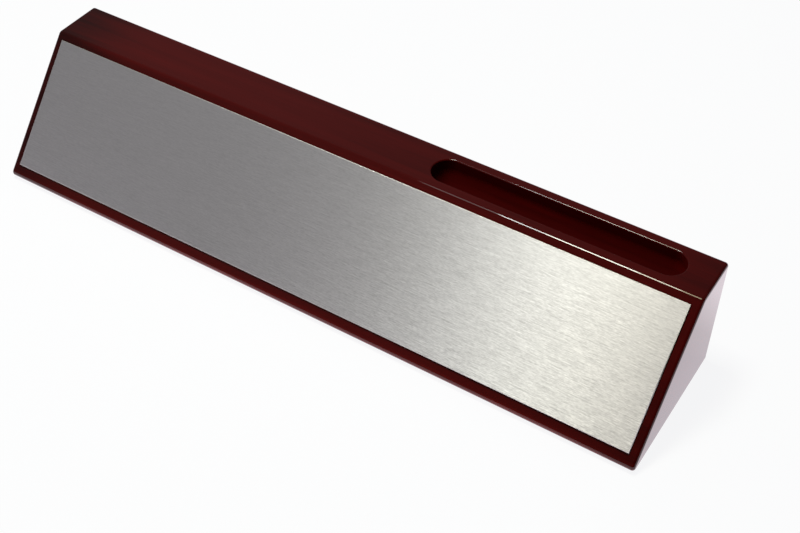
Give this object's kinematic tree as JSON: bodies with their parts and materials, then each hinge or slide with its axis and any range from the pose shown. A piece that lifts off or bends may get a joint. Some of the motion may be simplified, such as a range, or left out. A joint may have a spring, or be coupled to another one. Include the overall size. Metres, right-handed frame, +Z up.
{
  "type": "desk name plate",
  "caption": "Wedge-shaped lacquered desk block with a brushed metal plate taped to its sloping front, a slot for business cards milled in its top and a felt sheet under its base.",
  "frame": {"origin": "on the desk surface, under the middle of the block's box: the underside of the felt is at zero height", "axes": "+X along the block to the end with the card slot, +Y from the sloping front to the upright back, +Z up"},
  "size_m": [0.2666, 0.0581, 0.0468],
  "materials": {
    "lacquered_wood": "deep red-brown wood under a high-gloss clear lacquer",
    "brushed_plate": "fine brush lines along its length, satin",
    "plate_tape": "double-sided adhesive tape",
    "felt": "pressed black felt"
  },
  "bodies": {
    "root": {"wedge_block": "lacquered_wood", "name_plate": "brushed_plate", "plate_tape_upper": "plate_tape", "plate_tape_lower": "plate_tape", "base_felt": "felt"}
  },
  "joints": []
}
